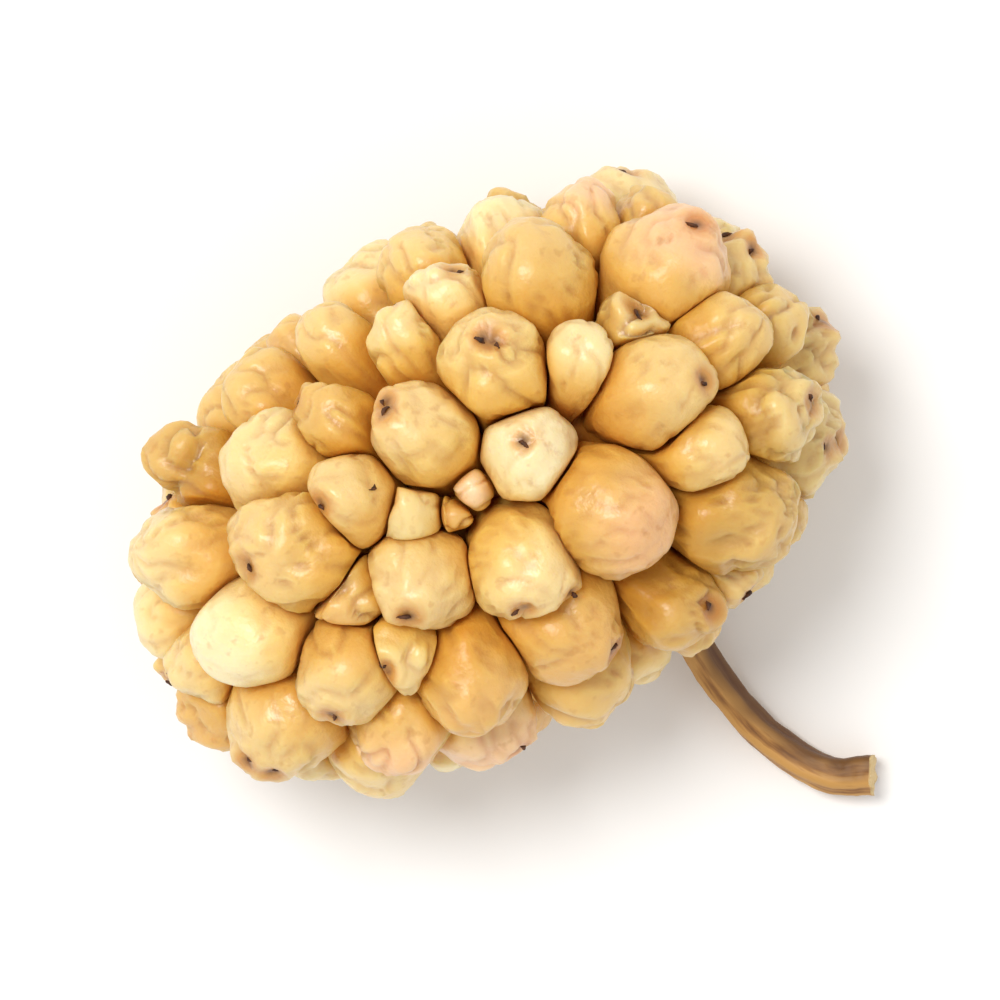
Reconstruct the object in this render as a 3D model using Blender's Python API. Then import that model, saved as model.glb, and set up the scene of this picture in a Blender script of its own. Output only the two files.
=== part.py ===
# Dried white mulberry, lying on its side as it came off the drying tray.
#
# A mulberry is a head of many small fleshy drupelets packed round one core. Drying leaves each
# drupelet a plump kernel: a round head on a narrow root that is sunk in the core. The thin stalk
# that held the berry on its twig comes out from under the kernels near the blunt end.
#
# Frame: +X runs from the berry's narrow tip to its blunt stalk end, +Z is up, and the berry rests
# on z = 0 on the kernels that the tray pressed flat. Lengths are in metres.

import math
import random

import bmesh
import bpy
import numpy as np
from mathutils import Matrix, Vector

MM = 0.001

# The head's outer envelope, which the tips of the large kernels touch
HALF_LENGTH = 9.2 * MM
HALF_WIDTH = 6.45 * MM
HALF_HEIGHT = 5.5 * MM
BLUNTNESS = 2.3  # 2 makes the envelope an ellipsoid, and more makes it boxier
BLUNT_END_GIRTH = 0.07  # share by which the stalk end is fatter than the middle
SIDE_LEAN = 0.55 * MM  # how far the stalk end leans to -Y, and the tip to +Y
HEAD_CENTRE = np.array((0, 0, 5.3)) * MM
UNDERSIDE_DROP = 1.1  # the underside would be this much deeper, had the tray not been there
PRESSED_IN = 0.15 * MM  # how far the tray pressed the lowest kernels in

# Kernels
SMALLEST = 0.8 * MM  # radius of the smallest head that fills a gap
FILL_RADII = (1.1 * MM, 1.5 * MM)
LARGEST = 1.6 * MM
SINK = 0.6  # how far a smaller head's tip lies under the envelope, as a share of the lost radius
UNEVENNESS = 0.45 * MM  # the most by which a filling kernel's tip lies deeper than that
CROWDING = 0.9  # distance between two neighbours' tips, as a share of both radii
TOUCHING = 4  # neighbours that a filling kernel grows to meet
FAR_OFF = 1.0  # a length beyond any between two kernels
BODY_WIDTH = 0.95  # half the width of a head, as a share of its radius
HEAD_STRETCH = 1.2  # length of a head's round end along its axis, as a share of its radius
ROOT_WIDTH = 0.5  # width of a kernel's root, as a share of its head's
ROOT_PLACE = (0.5, 0.12, 0.5)  # where a root starts, as a share of its tip's place
CORE_INSET = 2.0 * MM  # how far the core's skin lies inside the envelope
CREVICE_ANGLE = math.radians(50)  # a sharper bend between two faces is a crevice, not roundness
KERNEL_SIDES = 9
KERNEL_RINGS = 7
CANDIDATES = 1600
EASING_STEPS = 30
EASING = 0.12  # share of an overlap by which two kernels move apart in one step
SEED = 5

# The kernels that give this berry its look from above: where the middle of each shows in that
# view, from the head's centre, and the radius of its head, in millimetres
LEADING_KERNELS = (
    (6.9, 1.5, 1.60),
    (6.4, 4.0, 1.05),
    (4.3, 3.3, 1.50),
    (2.2, 2.3, 1.40),
    (3.9, 1.0, 1.00),
    (5.0, -0.8, 1.55),
    (1.6, 0.0, 1.30),
    (-0.2, 2.0, 1.40),
    (-1.7, 3.5, 1.00),
    (-2.6, 1.8, 1.25),
    (-1.7, 0.5, 0.95),
    (-0.1, 0.1, 0.60),
    (-0.9, -0.1, 0.60),
    (-4.4, 1.7, 1.55),
    (-2.5, -0.9, 1.45),
    (-0.1, -2.3, 1.50),
    (2.3, -2.6, 1.60),
    (-6.5, 3.1, 1.45),
    (-6.5, 0.6, 1.45),
    (-5.3, -1.6, 1.40),
    (-3.9, -2.1, 1.05),
    (-2.9, -3.7, 1.45),
    (4.6, -4.4, 1.55),
    (6.6, -2.9, 1.20),
    (2.1, -5.1, 1.15),
    (7.9, -1.2, 1.05),
    (2.3, 5.2, 1.20),
    (0.8, 4.0, 0.95),
    (-0.6, 5.0, 1.00),
    (-2.6, 5.0, 1.10),
    (-5.1, 4.6, 1.10),
)
PARTING = np.array((0.1, 0.5)) * MM  # the pit on top, where the kernels part
PIT_REACH = 4.6 * MM  # no gap nearer to the pit than this is filled
RIM = 0.97  # how far out a leading tip may lie, where the envelope's rim is 1
VIEW_LEAN = np.array((0.064, 0.083))  # sideways lean of that view for each unit of height
SEEN_MIDDLE = 0.4  # where a kernel's visible middle is, from its head's centre to its end
AIMING_STEPS = 30
AIMING = 0.5  # share of what is left that one step of aiming makes good
RESTING_KERNEL = 1.6 * MM  # radius of the kernel under the head's centre, at the origin

# Stalk: its route from the core out under the kernels, from the head's centre, in millimetres
STALK_ROUTE = (
    (3.2, -1.2, -1.6),
    (2.3, -3.9, -3.1),
    (1.6, -6.2, -4.1),
    (1.42, -7.9, -4.6),
    (1.55, -9.4, -4.75),
    (2.1, -10.85, -4.7),
    (3.0, -11.55, -4.5),
)
STALK_RADIUS = 0.46 * MM
STALK_CUT_END = 1.25  # the cut end is this much thicker
STALK_POINTS = 22
STALK_CLEARANCE = 0.07 * MM


def signed_power(values, exponent):
    """The size of each value raised to the exponent, with its sign kept."""
    return np.sign(values) * np.abs(values) ** exponent


def envelope_points(directions, inset=0.0):
    """The envelope's points in these unit directions from the head's centre."""
    unit = signed_power(directions, 2 / BLUNTNESS)
    girth = 1 + BLUNT_END_GIRTH * unit[:, 0]
    drop = np.where(unit[:, 2] < 0, UNDERSIDE_DROP, 1.0)
    along = (HALF_LENGTH - inset) * unit[:, 0]
    across = (HALF_WIDTH - inset) * girth * unit[:, 1] - SIDE_LEAN * unit[:, 0]
    up = (HALF_HEIGHT * drop - inset) * girth * unit[:, 2]
    return np.stack((along, across, up), axis=1)


def envelope_directions(points):
    """The unit directions whose envelope points lie close to these points."""
    along = np.clip(points[:, 0] / HALF_LENGTH, -0.999, 0.999)
    girth = 1 + BLUNT_END_GIRTH * along
    across = (points[:, 1] + SIDE_LEAN * along) / (HALF_WIDTH * girth)
    drop = np.where(points[:, 2] < 0, UNDERSIDE_DROP, 1.0)
    up = points[:, 2] / (HALF_HEIGHT * drop * girth)
    directions = signed_power(np.stack((along, across, up), axis=1), BLUNTNESS / 2)
    return directions / np.linalg.norm(directions, axis=1, keepdims=True)


def raised(places):
    """The points on the upper side of the envelope over these places."""
    along = places[:, 0] / HALF_LENGTH
    across = (places[:, 1] + SIDE_LEAN * along) / (HALF_WIDTH * (1 + BLUNT_END_GIRTH * along))
    flat = np.stack((along, across), axis=1)
    level = (np.abs(flat) ** BLUNTNESS).sum(axis=1, keepdims=True)
    flat = flat * np.minimum(1, RIM / level) ** (1 / BLUNTNESS)
    up = (1 - (np.abs(flat) ** BLUNTNESS).sum(axis=1, keepdims=True)) ** (1 / BLUNTNESS)
    unit = signed_power(np.hstack((flat, up)), BLUNTNESS / 2)
    return envelope_points(unit / np.linalg.norm(unit, axis=1, keepdims=True))


def leading_tips():
    """Tips and radii of the leading kernels, aimed to show at their places, and of the lowest."""
    placed = np.array(LEADING_KERNELS) * MM
    seen, radii = placed[:, :2], placed[:, 2]
    behind_tip = SINK * (LARGEST - radii) + (1 - SEEN_MIDDLE) * HEAD_STRETCH * radii
    aimed = seen
    for _ in range(AIMING_STEPS):
        tips = raised(aimed)
        axes = tips * (1 - np.array(ROOT_PLACE))
        axes /= np.linalg.norm(axes, axis=1, keepdims=True)
        middles = tips - axes * behind_tip[:, None]
        shown = middles[:, :2] - middles[:, 2:] * VIEW_LEAN
        aimed = tips[:, :2] + AIMING * (seen - shown)
    lowest = envelope_points(np.array([(0, 0, -1)]))
    return np.vstack((tips, lowest)), np.append(radii, RESTING_KERNEL)


def even_directions(count):
    """Directions spread evenly by the golden angle."""
    turn = math.pi * (3 - math.sqrt(5))
    step = np.arange(count)
    along = 1 - 2 * (step + 0.5) / count
    ring = np.sqrt(1 - along**2)
    return np.stack((along, ring * np.cos(step * turn), ring * np.sin(step * turn)), axis=1)


def stalk_line():
    """The stalk's centre line: points on a smooth curve through its route."""
    route = np.array(STALK_ROUTE) * MM
    ends = np.vstack((2 * route[0] - route[1], route, 2 * route[-1] - route[-2]))
    line = []
    for place in np.linspace(0, len(route) - 1.000001, STALK_POINTS):
        i, t = int(place), place % 1
        a, b, c, d = ends[i : i + 4]
        bend = 2 * a - 5 * b + 4 * c - d
        line.append(0.5 * (2 * b + (c - a) * t + bend * t * t + (3 * b - a - 3 * c + d) * t**3))
    return np.array(line)


def room_left(points, tips, radii, stalk):
    """How much of the envelope is free round each point, short of its neighbours and the stalk."""
    to_kernels = np.linalg.norm(points[:, None] - tips[None], axis=2) - CROWDING * radii
    to_stalk = np.linalg.norm(points[:, None] - stalk[None], axis=2) - STALK_RADIUS
    return np.minimum(to_kernels.min(axis=1), to_stalk.min(axis=1))


def with_gaps_filled(tips, radii, draw):
    """The kernels with more grown between them, each where the most room is left."""
    candidates = envelope_points(even_directions(CANDIDATES))
    from_pit = np.linalg.norm(candidates[:, :2] - PARTING, axis=1)
    candidates = candidates[(from_pit > PIT_REACH) | (candidates[:, 2] < 0)]
    stalk = stalk_line()
    while True:
        room = room_left(candidates, tips, radii, stalk)
        best = int(room.argmax())
        radius = min(room[best] / CROWDING, draw.uniform(*FILL_RADII))
        if radius < SMALLEST:
            return tips, radii
        tips = np.vstack((tips, candidates[best]))
        radii = np.append(radii, radius)


def swollen(tips, radii, leading):
    """The radii, with each filling kernel grown until it meets the nearest of its neighbours."""
    distance = np.linalg.norm(tips[:, None] - tips[None], axis=2) + FAR_OFF * np.eye(len(tips))
    for number in range(leading, len(tips)):
        room = np.sort(distance[number] - CROWDING * radii)[:TOUCHING]
        radii[number] = np.clip(room.mean(), radii[number], LARGEST)
    return radii


def kernel_layout():
    """Tips and radii of all kernels: the leading ones, and those that fill the room they leave."""
    draw = random.Random(SEED)
    tips, radii = leading_tips()
    leading = len(tips)
    tips, radii = with_gaps_filled(tips, radii, draw)
    for _ in range(EASING_STEPS):
        tips = eased_apart(tips, radii, leading)
    tips, radii = with_gaps_filled(tips, radii, draw)
    return tips, swollen(tips, radii, leading)


def kernel_axes(tips, radii):
    """Each kernel's root, its direction and its head's end, lifted where the tray pressed it."""
    draw = random.Random(SEED + 1)
    leading = len(LEADING_KERNELS) + 1
    roots = tips * ROOT_PLACE
    axes = tips - roots
    axes /= np.linalg.norm(axes, axis=1, keepdims=True)
    sinks = SINK * (LARGEST - radii)
    sinks[leading:] += [draw.uniform(0, UNEVENNESS) for _ in radii[leading:]]
    ends = tips - axes * sinks[:, None]
    height = radii * HEAD_STRETCH * axes[:, 2]
    width = radii * BODY_WIDTH * np.hypot(axes[:, 0], axes[:, 1])
    lowest = ends[:, 2] - height - np.hypot(height, width)
    ends[:, 2] += np.clip(-HEAD_CENTRE[2] - PRESSED_IN - lowest, 0, None)
    return roots, axes, ends


def eased_apart(tips, radii, leading):
    """One step of moving crowded kernels apart along the envelope. The leading ones stay."""
    between = tips[:, None] - tips[None]
    distance = np.linalg.norm(between, axis=2) + np.eye(len(tips))
    wanted = CROWDING * (radii[:, None] + radii[None])
    push = np.clip(wanted / distance - 1, 0, 0.5) * (1 - np.eye(len(tips)))
    step = EASING * (between * push[..., None]).sum(axis=1)
    step[:leading] = 0
    moved = tips + step
    moved[leading:] = envelope_points(envelope_directions(moved[leading:]))
    return moved


def clear_scene():
    for obj in list(bpy.data.objects):
        bpy.data.objects.remove(obj)


def named_collection(name):
    collection = bpy.data.collections.new(name)
    bpy.context.scene.collection.children.link(collection)
    return collection


def plain_material(name, color, roughness):
    material = bpy.data.materials.new(name)
    material.use_nodes = True
    shader = material.node_tree.nodes["Principled BSDF"]
    shader.inputs["Base Color"].default_value = (*color, 1)
    shader.inputs["Roughness"].default_value = roughness
    shader.inputs["Metallic"].default_value = 0
    material.diffuse_color = (*color, 1)
    return material


def add_mesh(name, shape, collection):
    mesh = bpy.data.meshes.new(name)
    shape.to_mesh(mesh)
    shape.free()
    obj = bpy.data.objects.new(name, mesh)
    collection.objects.link(obj)
    return obj


def add_core(collection):
    """The core that carries the kernels: the envelope's own form, drawn in."""
    shape = bmesh.new()
    bmesh.ops.create_uvsphere(shape, u_segments=14, v_segments=9, radius=1)
    directions = np.array([vertex.co.normalized() for vertex in shape.verts])
    points = envelope_points(directions, CORE_INSET) + HEAD_CENTRE
    points[:, 2] = np.maximum(points[:, 2], CORE_INSET)
    for vertex, point in zip(shape.verts, points):
        vertex.co = point
    return add_mesh("fruit", shape, collection)


def add_kernel(name, root, axis, end, radius, roll, collection):
    """One kernel: a round head at its end, drawn out to a narrow root inside the core."""
    head = radius * HEAD_STRETCH
    neck = np.linalg.norm(end - root) - head
    shape = bmesh.new()
    bmesh.ops.create_uvsphere(
        shape, u_segments=KERNEL_SIDES, v_segments=KERNEL_RINGS, radius=1
    )
    for vertex in shape.verts:
        x, y, z = vertex.co
        width = radius * BODY_WIDTH * (1 - (1 - ROOT_WIDTH) * max(-z, 0) ** 1.5)
        vertex.co = (x * width, y * width, z * (head if z > 0 else neck))
    turn = Vector(axis).to_track_quat("Z", "Y").to_matrix().to_4x4()
    place = Matrix.Translation(end - axis * head + HEAD_CENTRE)
    matrix = place @ turn @ Matrix.Rotation(roll, 4, "Z")
    bmesh.ops.transform(shape, matrix=matrix, verts=shape.verts)
    return add_mesh(name, shape, collection)


def add_stalk(name, collection, extra=0.0):
    """The stalk: a thin round stem along its line, a little thicker at its cut end."""
    curve = bpy.data.curves.new(name, "CURVE")
    curve.dimensions = "3D"
    curve.bevel_depth = STALK_RADIUS + extra
    curve.bevel_resolution = 2
    curve.use_fill_caps = True
    line = stalk_line() + HEAD_CENTRE
    inward = line[0] - line[1]
    line[0] += inward / np.linalg.norm(inward) * extra
    spline = curve.splines.new("POLY")
    spline.points.add(len(line) - 1)
    for number, (point, place) in enumerate(zip(spline.points, line)):
        along = number / (len(line) - 1)
        point.co = (*place, 1)
        point.radius = 1 + (STALK_CUT_END - 1) * along**6
    obj = bpy.data.objects.new(name, curve)
    collection.objects.link(obj)
    return obj


def made_mesh(obj):
    """A curve object's solid as a mesh object, with its caps welded on. The curve is removed."""
    graph = bpy.context.evaluated_depsgraph_get()
    mesh = bpy.data.meshes.new_from_object(obj.evaluated_get(graph))
    shape = bmesh.new()
    shape.from_mesh(mesh)
    bmesh.ops.remove_doubles(shape, verts=shape.verts, dist=0.001 * MM)
    shape.to_mesh(mesh)
    shape.free()
    made = bpy.data.objects.new(obj.name + "_solid", mesh)
    made.matrix_world = obj.matrix_world
    obj.users_collection[0].objects.link(made)
    bpy.data.objects.remove(obj)
    return made


def add_tray(collection):
    """The space under z = 0, which the tray filled and no kernel could reach into."""
    side = 40 * MM
    shape = bmesh.new()
    bmesh.ops.create_cube(shape, size=side)
    bmesh.ops.translate(shape, vec=(0, 0, -side / 2), verts=shape.verts)
    return add_mesh("tray", shape, collection)


def add_boolean(obj, operation, operand):
    modifier = obj.modifiers.new(operation.lower(), "BOOLEAN")
    modifier.operation = operation
    if isinstance(operand, bpy.types.Collection):
        modifier.operand_type = "COLLECTION"
        modifier.collection = operand
    else:
        modifier.object = operand
    modifier.solver = "EXACT"


def applied(obj):
    """The object's mesh with its modifiers applied."""
    graph = bpy.context.evaluated_depsgraph_get()
    mesh = bpy.data.meshes.new_from_object(obj.evaluated_get(graph))
    obj.modifiers.clear()
    obj.data = mesh
    return mesh


def keep_outer_skin(mesh):
    """Drops the skins of sealed hollows, which leaves them solid, and those of loose scraps."""
    shape = bmesh.new()
    shape.from_mesh(mesh)
    left = set(shape.verts)
    skins = []
    while left:
        skin = {left.pop()}
        front = list(skin)
        while front:
            near = {edge.other_vert(vertex) for vertex in front for edge in vertex.link_edges}
            front = list(near - skin)
            skin |= near
        left -= skin
        skins.append(skin)
    outer = max(skins, key=len)
    others = [vertex for vertex in shape.verts if vertex not in outer]
    bmesh.ops.delete(shape, geom=others, context="VERTS")
    shape.to_mesh(mesh)
    shape.free()


def add_fruit(collection, helpers):
    """The head: its kernels and core as one body, flat underneath and hollowed for the stalk."""
    fruit = add_core(collection)
    tips, radii = kernel_layout()
    draw = random.Random(SEED)
    for number, place in enumerate(zip(*kernel_axes(tips, radii), radii)):
        add_kernel(f"kernel_{number}", *place, draw.uniform(0, math.pi), helpers)
    add_boolean(fruit, "UNION", helpers)
    keep_outer_skin(applied(fruit))
    for obj in list(helpers.objects):
        bpy.data.objects.remove(obj)
    tray = add_tray(helpers)
    channel = made_mesh(add_stalk("stalk_channel", helpers, STALK_CLEARANCE))
    add_boolean(fruit, "DIFFERENCE", tray)
    add_boolean(fruit, "DIFFERENCE", channel)
    mesh = applied(fruit)
    keep_outer_skin(mesh)
    for obj in list(helpers.objects):
        bpy.data.objects.remove(obj)
    mesh.shade_smooth()
    mesh.set_sharp_from_angle(angle=CREVICE_ANGLE)
    mesh.materials.append(plain_material("dried_flesh", (0.80, 0.53, 0.22), 0.5))
    print("kernels", len(tips), "triangles", sum(len(p.vertices) - 2 for p in mesh.polygons))
    return fruit


def main():
    clear_scene()
    parts = named_collection("dried_mulberry")
    helpers = named_collection("helpers")
    add_fruit(parts, helpers)
    stalk = add_stalk("stalk", parts)
    stalk.data.materials.append(plain_material("dried_stalk", (0.36, 0.19, 0.06), 0.65))


main()
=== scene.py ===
import math
import random

import bmesh
import bpy
import numpy as np
from mathutils import Matrix, Vector, noise
from mathutils.bvhtree import BVHTree
from mathutils.kdtree import KDTree


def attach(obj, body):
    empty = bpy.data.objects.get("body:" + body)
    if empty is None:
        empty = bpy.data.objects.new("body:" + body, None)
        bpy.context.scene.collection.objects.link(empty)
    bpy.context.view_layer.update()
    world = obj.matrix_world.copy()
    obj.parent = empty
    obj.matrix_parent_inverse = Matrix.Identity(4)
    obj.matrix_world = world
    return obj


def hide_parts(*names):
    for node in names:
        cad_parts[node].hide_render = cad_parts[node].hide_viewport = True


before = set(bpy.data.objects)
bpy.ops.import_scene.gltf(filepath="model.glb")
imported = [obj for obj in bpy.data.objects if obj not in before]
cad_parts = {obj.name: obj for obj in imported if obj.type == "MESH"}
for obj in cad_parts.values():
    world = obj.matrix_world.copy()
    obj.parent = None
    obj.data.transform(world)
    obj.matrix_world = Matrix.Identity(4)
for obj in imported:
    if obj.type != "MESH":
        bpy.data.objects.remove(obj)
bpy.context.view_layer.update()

MM = 0.001

# Head of the berry
#
# A white mulberry is a head of small fleshy drupelets grown round one core, all one piece. Drying
# has left each drupelet a plump, waxy kernel, pressed flat against its neighbours along its sides.
# Each kernel is shaped on its own place in the head, and all are then joined to the core.

# The outer envelope of the head, and the rule that places its kernels, both as in the solid. Only
# the core is set deeper, out of sight behind the kernels' finer flanks.
HALF_LENGTH = 9.2 * MM
HALF_WIDTH = 6.45 * MM
HALF_HEIGHT = 5.5 * MM
BLUNTNESS = 2.3  # 2 makes the envelope an ellipsoid, and more makes it boxier
BLUNT_END_GIRTH = 0.07  # share by which the stalk end is fatter than the middle
SIDE_LEAN = 0.55 * MM  # how far the stalk end leans to -Y, and the tip to +Y
HEAD_CENTRE = np.array((0, 0, 5.3)) * MM
UNDERSIDE_DROP = 1.1  # the underside would be this much deeper, had the tray not been there
PRESSED_IN = 0.15 * MM  # how far the tray pressed the lowest kernels in
SMALLEST = 0.8 * MM  # radius of the smallest head that fills a gap
FILL_RADII = (1.1 * MM, 1.5 * MM)
LARGEST = 1.6 * MM
SINK = 0.6  # how far a smaller head's tip lies under the envelope, as a share of the lost radius
UNEVENNESS = 0.45 * MM  # the most by which a filling kernel's tip lies deeper than that
CROWDING = 0.9  # distance between two neighbours' tips, as a share of both radii
TOUCHING = 4  # neighbours that a filling kernel grows to meet
FAR_OFF = 1.0  # a length beyond any between two kernels
BODY_WIDTH = 0.95  # half the width of a head, as a share of its radius
HEAD_STRETCH = 1.2  # length of a head's round end along its axis, as a share of its radius
ROOT_WIDTH = 0.5  # width of a kernel's root, as a share of its head's
ROOT_PLACE = (0.5, 0.12, 0.5)  # where a root starts, as a share of its tip's place
CORE_INSET = 2.5 * MM  # how far the core's skin lies inside the envelope
CANDIDATES = 1600
EASING_STEPS = 30
EASING = 0.12  # share of an overlap by which two kernels move apart in one step
SEED = 5
PARTING = np.array((0.1, 0.5)) * MM  # the pit in the middle of the upper side
PIT_REACH = 4.6 * MM  # nearer than this to the pit, only the leading kernels grow on top
RIM = 0.97  # how far out a leading tip may lie, where the envelope's rim is 1
VIEW_LEAN = np.array((0.064, 0.083))  # sideways lean of the view for each unit of height
SEEN_MIDDLE = 0.4  # where a kernel's visible middle is, from its head's centre to its end
AIMING_STEPS = 30
AIMING = 0.5  # share of what is left that one step of aiming makes good
RESTING_KERNEL = 1.6 * MM  # radius of the kernel under the head's centre
# The stalk's route from the core out under the kernels, from the head's centre, in millimetres
STALK_ROUTE = (
    (3.2, -1.2, -1.6),
    (2.3, -3.9, -3.1),
    (1.6, -6.2, -4.1),
    (1.42, -7.9, -4.6),
    (1.55, -9.4, -4.75),
    (2.1, -10.85, -4.7),
    (3.0, -11.55, -4.5),
)
STALK_RADIUS = 0.46 * MM
STALK_POINTS = 22

# Leading kernels: where the middle of each shows from above and its radius, in millimetres, the
# tone it dried to, and how many dark style ends it has
LEADING_KERNELS = (
    (6.9, 1.5, 1.60, "peach", 1),
    (6.4, 4.0, 1.05, "peach", 0),
    (4.3, 3.3, 1.50, "gold", 0),
    (2.2, 2.3, 1.40, "gold", 2),
    (3.9, 1.0, 1.00, "cream", 0),
    (5.0, -0.8, 1.55, "cream", 1),
    (1.6, 0.0, 1.30, "pale", 1),
    (-0.2, 2.0, 1.40, "gold", 2),
    (-1.7, 3.5, 1.00, "gold", 1),
    (-2.6, 1.8, 1.25, "cream", 1),
    (-1.7, 0.5, 0.95, "pale", 1),
    (-0.1, 0.1, 0.60, "peach", 0),
    (-0.9, -0.1, 0.60, "amber", 0),
    (-4.4, 1.7, 1.55, "gold", 1),
    (-2.5, -0.9, 1.45, "cream", 1),
    (-0.1, -2.3, 1.50, "gold", 2),
    (2.3, -2.6, 1.60, "peach", 0),
    (-6.5, 3.1, 1.45, "cream", 0),
    (-6.5, 0.6, 1.45, "pale", 0),
    (-5.3, -1.6, 1.40, "cream", 1),
    (-3.9, -2.1, 1.05, "gold", 1),
    (-2.9, -3.7, 1.45, "amber", 0),
    (4.6, -4.4, 1.55, "olive", 0),
    (6.6, -2.9, 1.20, "olive", 1),
    (2.1, -5.1, 1.15, "olive", 1),
    (7.9, -1.2, 1.05, "olive", 0),
    (2.3, 5.2, 1.20, "gold", 0),
    (0.8, 4.0, 0.95, "gold", 1),
    (-0.6, 5.0, 1.00, "gold", 0),
    (-2.6, 5.0, 1.10, "cream", 0),
    (-5.1, 4.6, 1.10, "olive", 0),
)


def signed_power(values, exponent):
    """The size of each value raised to the exponent, with its sign kept."""
    return np.sign(values) * np.abs(values) ** exponent


def envelope_points(directions, inset=0.0):
    """The envelope's points in these unit directions from the head's centre."""
    unit = signed_power(directions, 2 / BLUNTNESS)
    girth = 1 + BLUNT_END_GIRTH * unit[:, 0]
    drop = np.where(unit[:, 2] < 0, UNDERSIDE_DROP, 1.0)
    along = (HALF_LENGTH - inset) * unit[:, 0]
    across = (HALF_WIDTH - inset) * girth * unit[:, 1] - SIDE_LEAN * unit[:, 0]
    up = (HALF_HEIGHT * drop - inset) * girth * unit[:, 2]
    return np.stack((along, across, up), axis=1)


def envelope_directions(points):
    """The unit directions whose envelope points lie close to these points."""
    along = np.clip(points[:, 0] / HALF_LENGTH, -0.999, 0.999)
    girth = 1 + BLUNT_END_GIRTH * along
    across = (points[:, 1] + SIDE_LEAN * along) / (HALF_WIDTH * girth)
    drop = np.where(points[:, 2] < 0, UNDERSIDE_DROP, 1.0)
    up = points[:, 2] / (HALF_HEIGHT * drop * girth)
    directions = signed_power(np.stack((along, across, up), axis=1), BLUNTNESS / 2)
    return directions / np.linalg.norm(directions, axis=1, keepdims=True)


def raised(places):
    """The points on the upper side of the envelope over these places."""
    along = places[:, 0] / HALF_LENGTH
    across = (places[:, 1] + SIDE_LEAN * along) / (HALF_WIDTH * (1 + BLUNT_END_GIRTH * along))
    flat = np.stack((along, across), axis=1)
    level = (np.abs(flat) ** BLUNTNESS).sum(axis=1, keepdims=True)
    flat = flat * np.minimum(1, RIM / level) ** (1 / BLUNTNESS)
    up = (1 - (np.abs(flat) ** BLUNTNESS).sum(axis=1, keepdims=True)) ** (1 / BLUNTNESS)
    unit = signed_power(np.hstack((flat, up)), BLUNTNESS / 2)
    return envelope_points(unit / np.linalg.norm(unit, axis=1, keepdims=True))


def leading_tips():
    """Tips and radii of the leading kernels, aimed to show at their places, and of the lowest."""
    placed = np.array([row[:3] for row in LEADING_KERNELS]) * MM
    seen, radii = placed[:, :2], placed[:, 2]
    behind_tip = SINK * (LARGEST - radii) + (1 - SEEN_MIDDLE) * HEAD_STRETCH * radii
    aimed = seen
    for _ in range(AIMING_STEPS):
        tips = raised(aimed)
        axes = tips * (1 - np.array(ROOT_PLACE))
        axes /= np.linalg.norm(axes, axis=1, keepdims=True)
        middles = tips - axes * behind_tip[:, None]
        shown = middles[:, :2] - middles[:, 2:] * VIEW_LEAN
        aimed = tips[:, :2] + AIMING * (seen - shown)
    lowest = envelope_points(np.array([(0, 0, -1)]))
    return np.vstack((tips, lowest)), np.append(radii, RESTING_KERNEL)


def even_directions(count):
    """Directions spread evenly by the golden angle."""
    turn = math.pi * (3 - math.sqrt(5))
    step = np.arange(count)
    along = 1 - 2 * (step + 0.5) / count
    ring = np.sqrt(1 - along**2)
    return np.stack((along, ring * np.cos(step * turn), ring * np.sin(step * turn)), axis=1)


def stalk_line(count):
    """The stalk's centre line: points on a smooth curve through its route."""
    route = np.array(STALK_ROUTE) * MM
    ends = np.vstack((2 * route[0] - route[1], route, 2 * route[-1] - route[-2]))
    line = []
    for place in np.linspace(0, len(route) - 1.000001, count):
        i, t = int(place), place % 1
        a, b, c, d = ends[i : i + 4]
        bend = 2 * a - 5 * b + 4 * c - d
        line.append(0.5 * (2 * b + (c - a) * t + bend * t * t + (3 * b - a - 3 * c + d) * t**3))
    return np.array(line)


def room_left(points, tips, radii, stalk):
    """How much of the envelope is free round each point, short of its neighbours and the stalk."""
    to_kernels = np.linalg.norm(points[:, None] - tips[None], axis=2) - CROWDING * radii
    to_stalk = np.linalg.norm(points[:, None] - stalk[None], axis=2) - STALK_RADIUS
    return np.minimum(to_kernels.min(axis=1), to_stalk.min(axis=1))


def eased_apart(tips, radii, leading):
    """One step of moving crowded kernels apart along the envelope. The leading ones stay."""
    between = tips[:, None] - tips[None]
    distance = np.linalg.norm(between, axis=2) + np.eye(len(tips))
    wanted = CROWDING * (radii[:, None] + radii[None])
    push = np.clip(wanted / distance - 1, 0, 0.5) * (1 - np.eye(len(tips)))
    step = EASING * (between * push[..., None]).sum(axis=1)
    step[:leading] = 0
    moved = tips + step
    moved[leading:] = envelope_points(envelope_directions(moved[leading:]))
    return moved


def with_gaps_filled(tips, radii, draw):
    """The kernels with more grown between them, each where the most room is left."""
    candidates = envelope_points(even_directions(CANDIDATES))
    from_pit = np.linalg.norm(candidates[:, :2] - PARTING, axis=1)
    candidates = candidates[(from_pit > PIT_REACH) | (candidates[:, 2] < 0)]
    stalk = stalk_line(STALK_POINTS)
    while True:
        room = room_left(candidates, tips, radii, stalk)
        best = int(room.argmax())
        radius = min(room[best] / CROWDING, draw.uniform(*FILL_RADII))
        if radius < SMALLEST:
            return tips, radii
        tips = np.vstack((tips, candidates[best]))
        radii = np.append(radii, radius)


def swollen(tips, radii, leading):
    """The radii, with each filling kernel grown until it meets the nearest of its neighbours."""
    distance = np.linalg.norm(tips[:, None] - tips[None], axis=2) + FAR_OFF * np.eye(len(tips))
    for number in range(leading, len(tips)):
        room = np.sort(distance[number] - CROWDING * radii)[:TOUCHING]
        radii[number] = np.clip(room.mean(), radii[number], LARGEST)
    return radii


def kernel_layout():
    """Tips and radii of all kernels: the leading ones, and those that fill the room they leave."""
    draw = random.Random(SEED)
    tips, radii = leading_tips()
    leading = len(tips)
    tips, radii = with_gaps_filled(tips, radii, draw)
    for _ in range(EASING_STEPS):
        tips = eased_apart(tips, radii, leading)
    tips, radii = with_gaps_filled(tips, radii, draw)
    return tips, swollen(tips, radii, leading)


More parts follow.
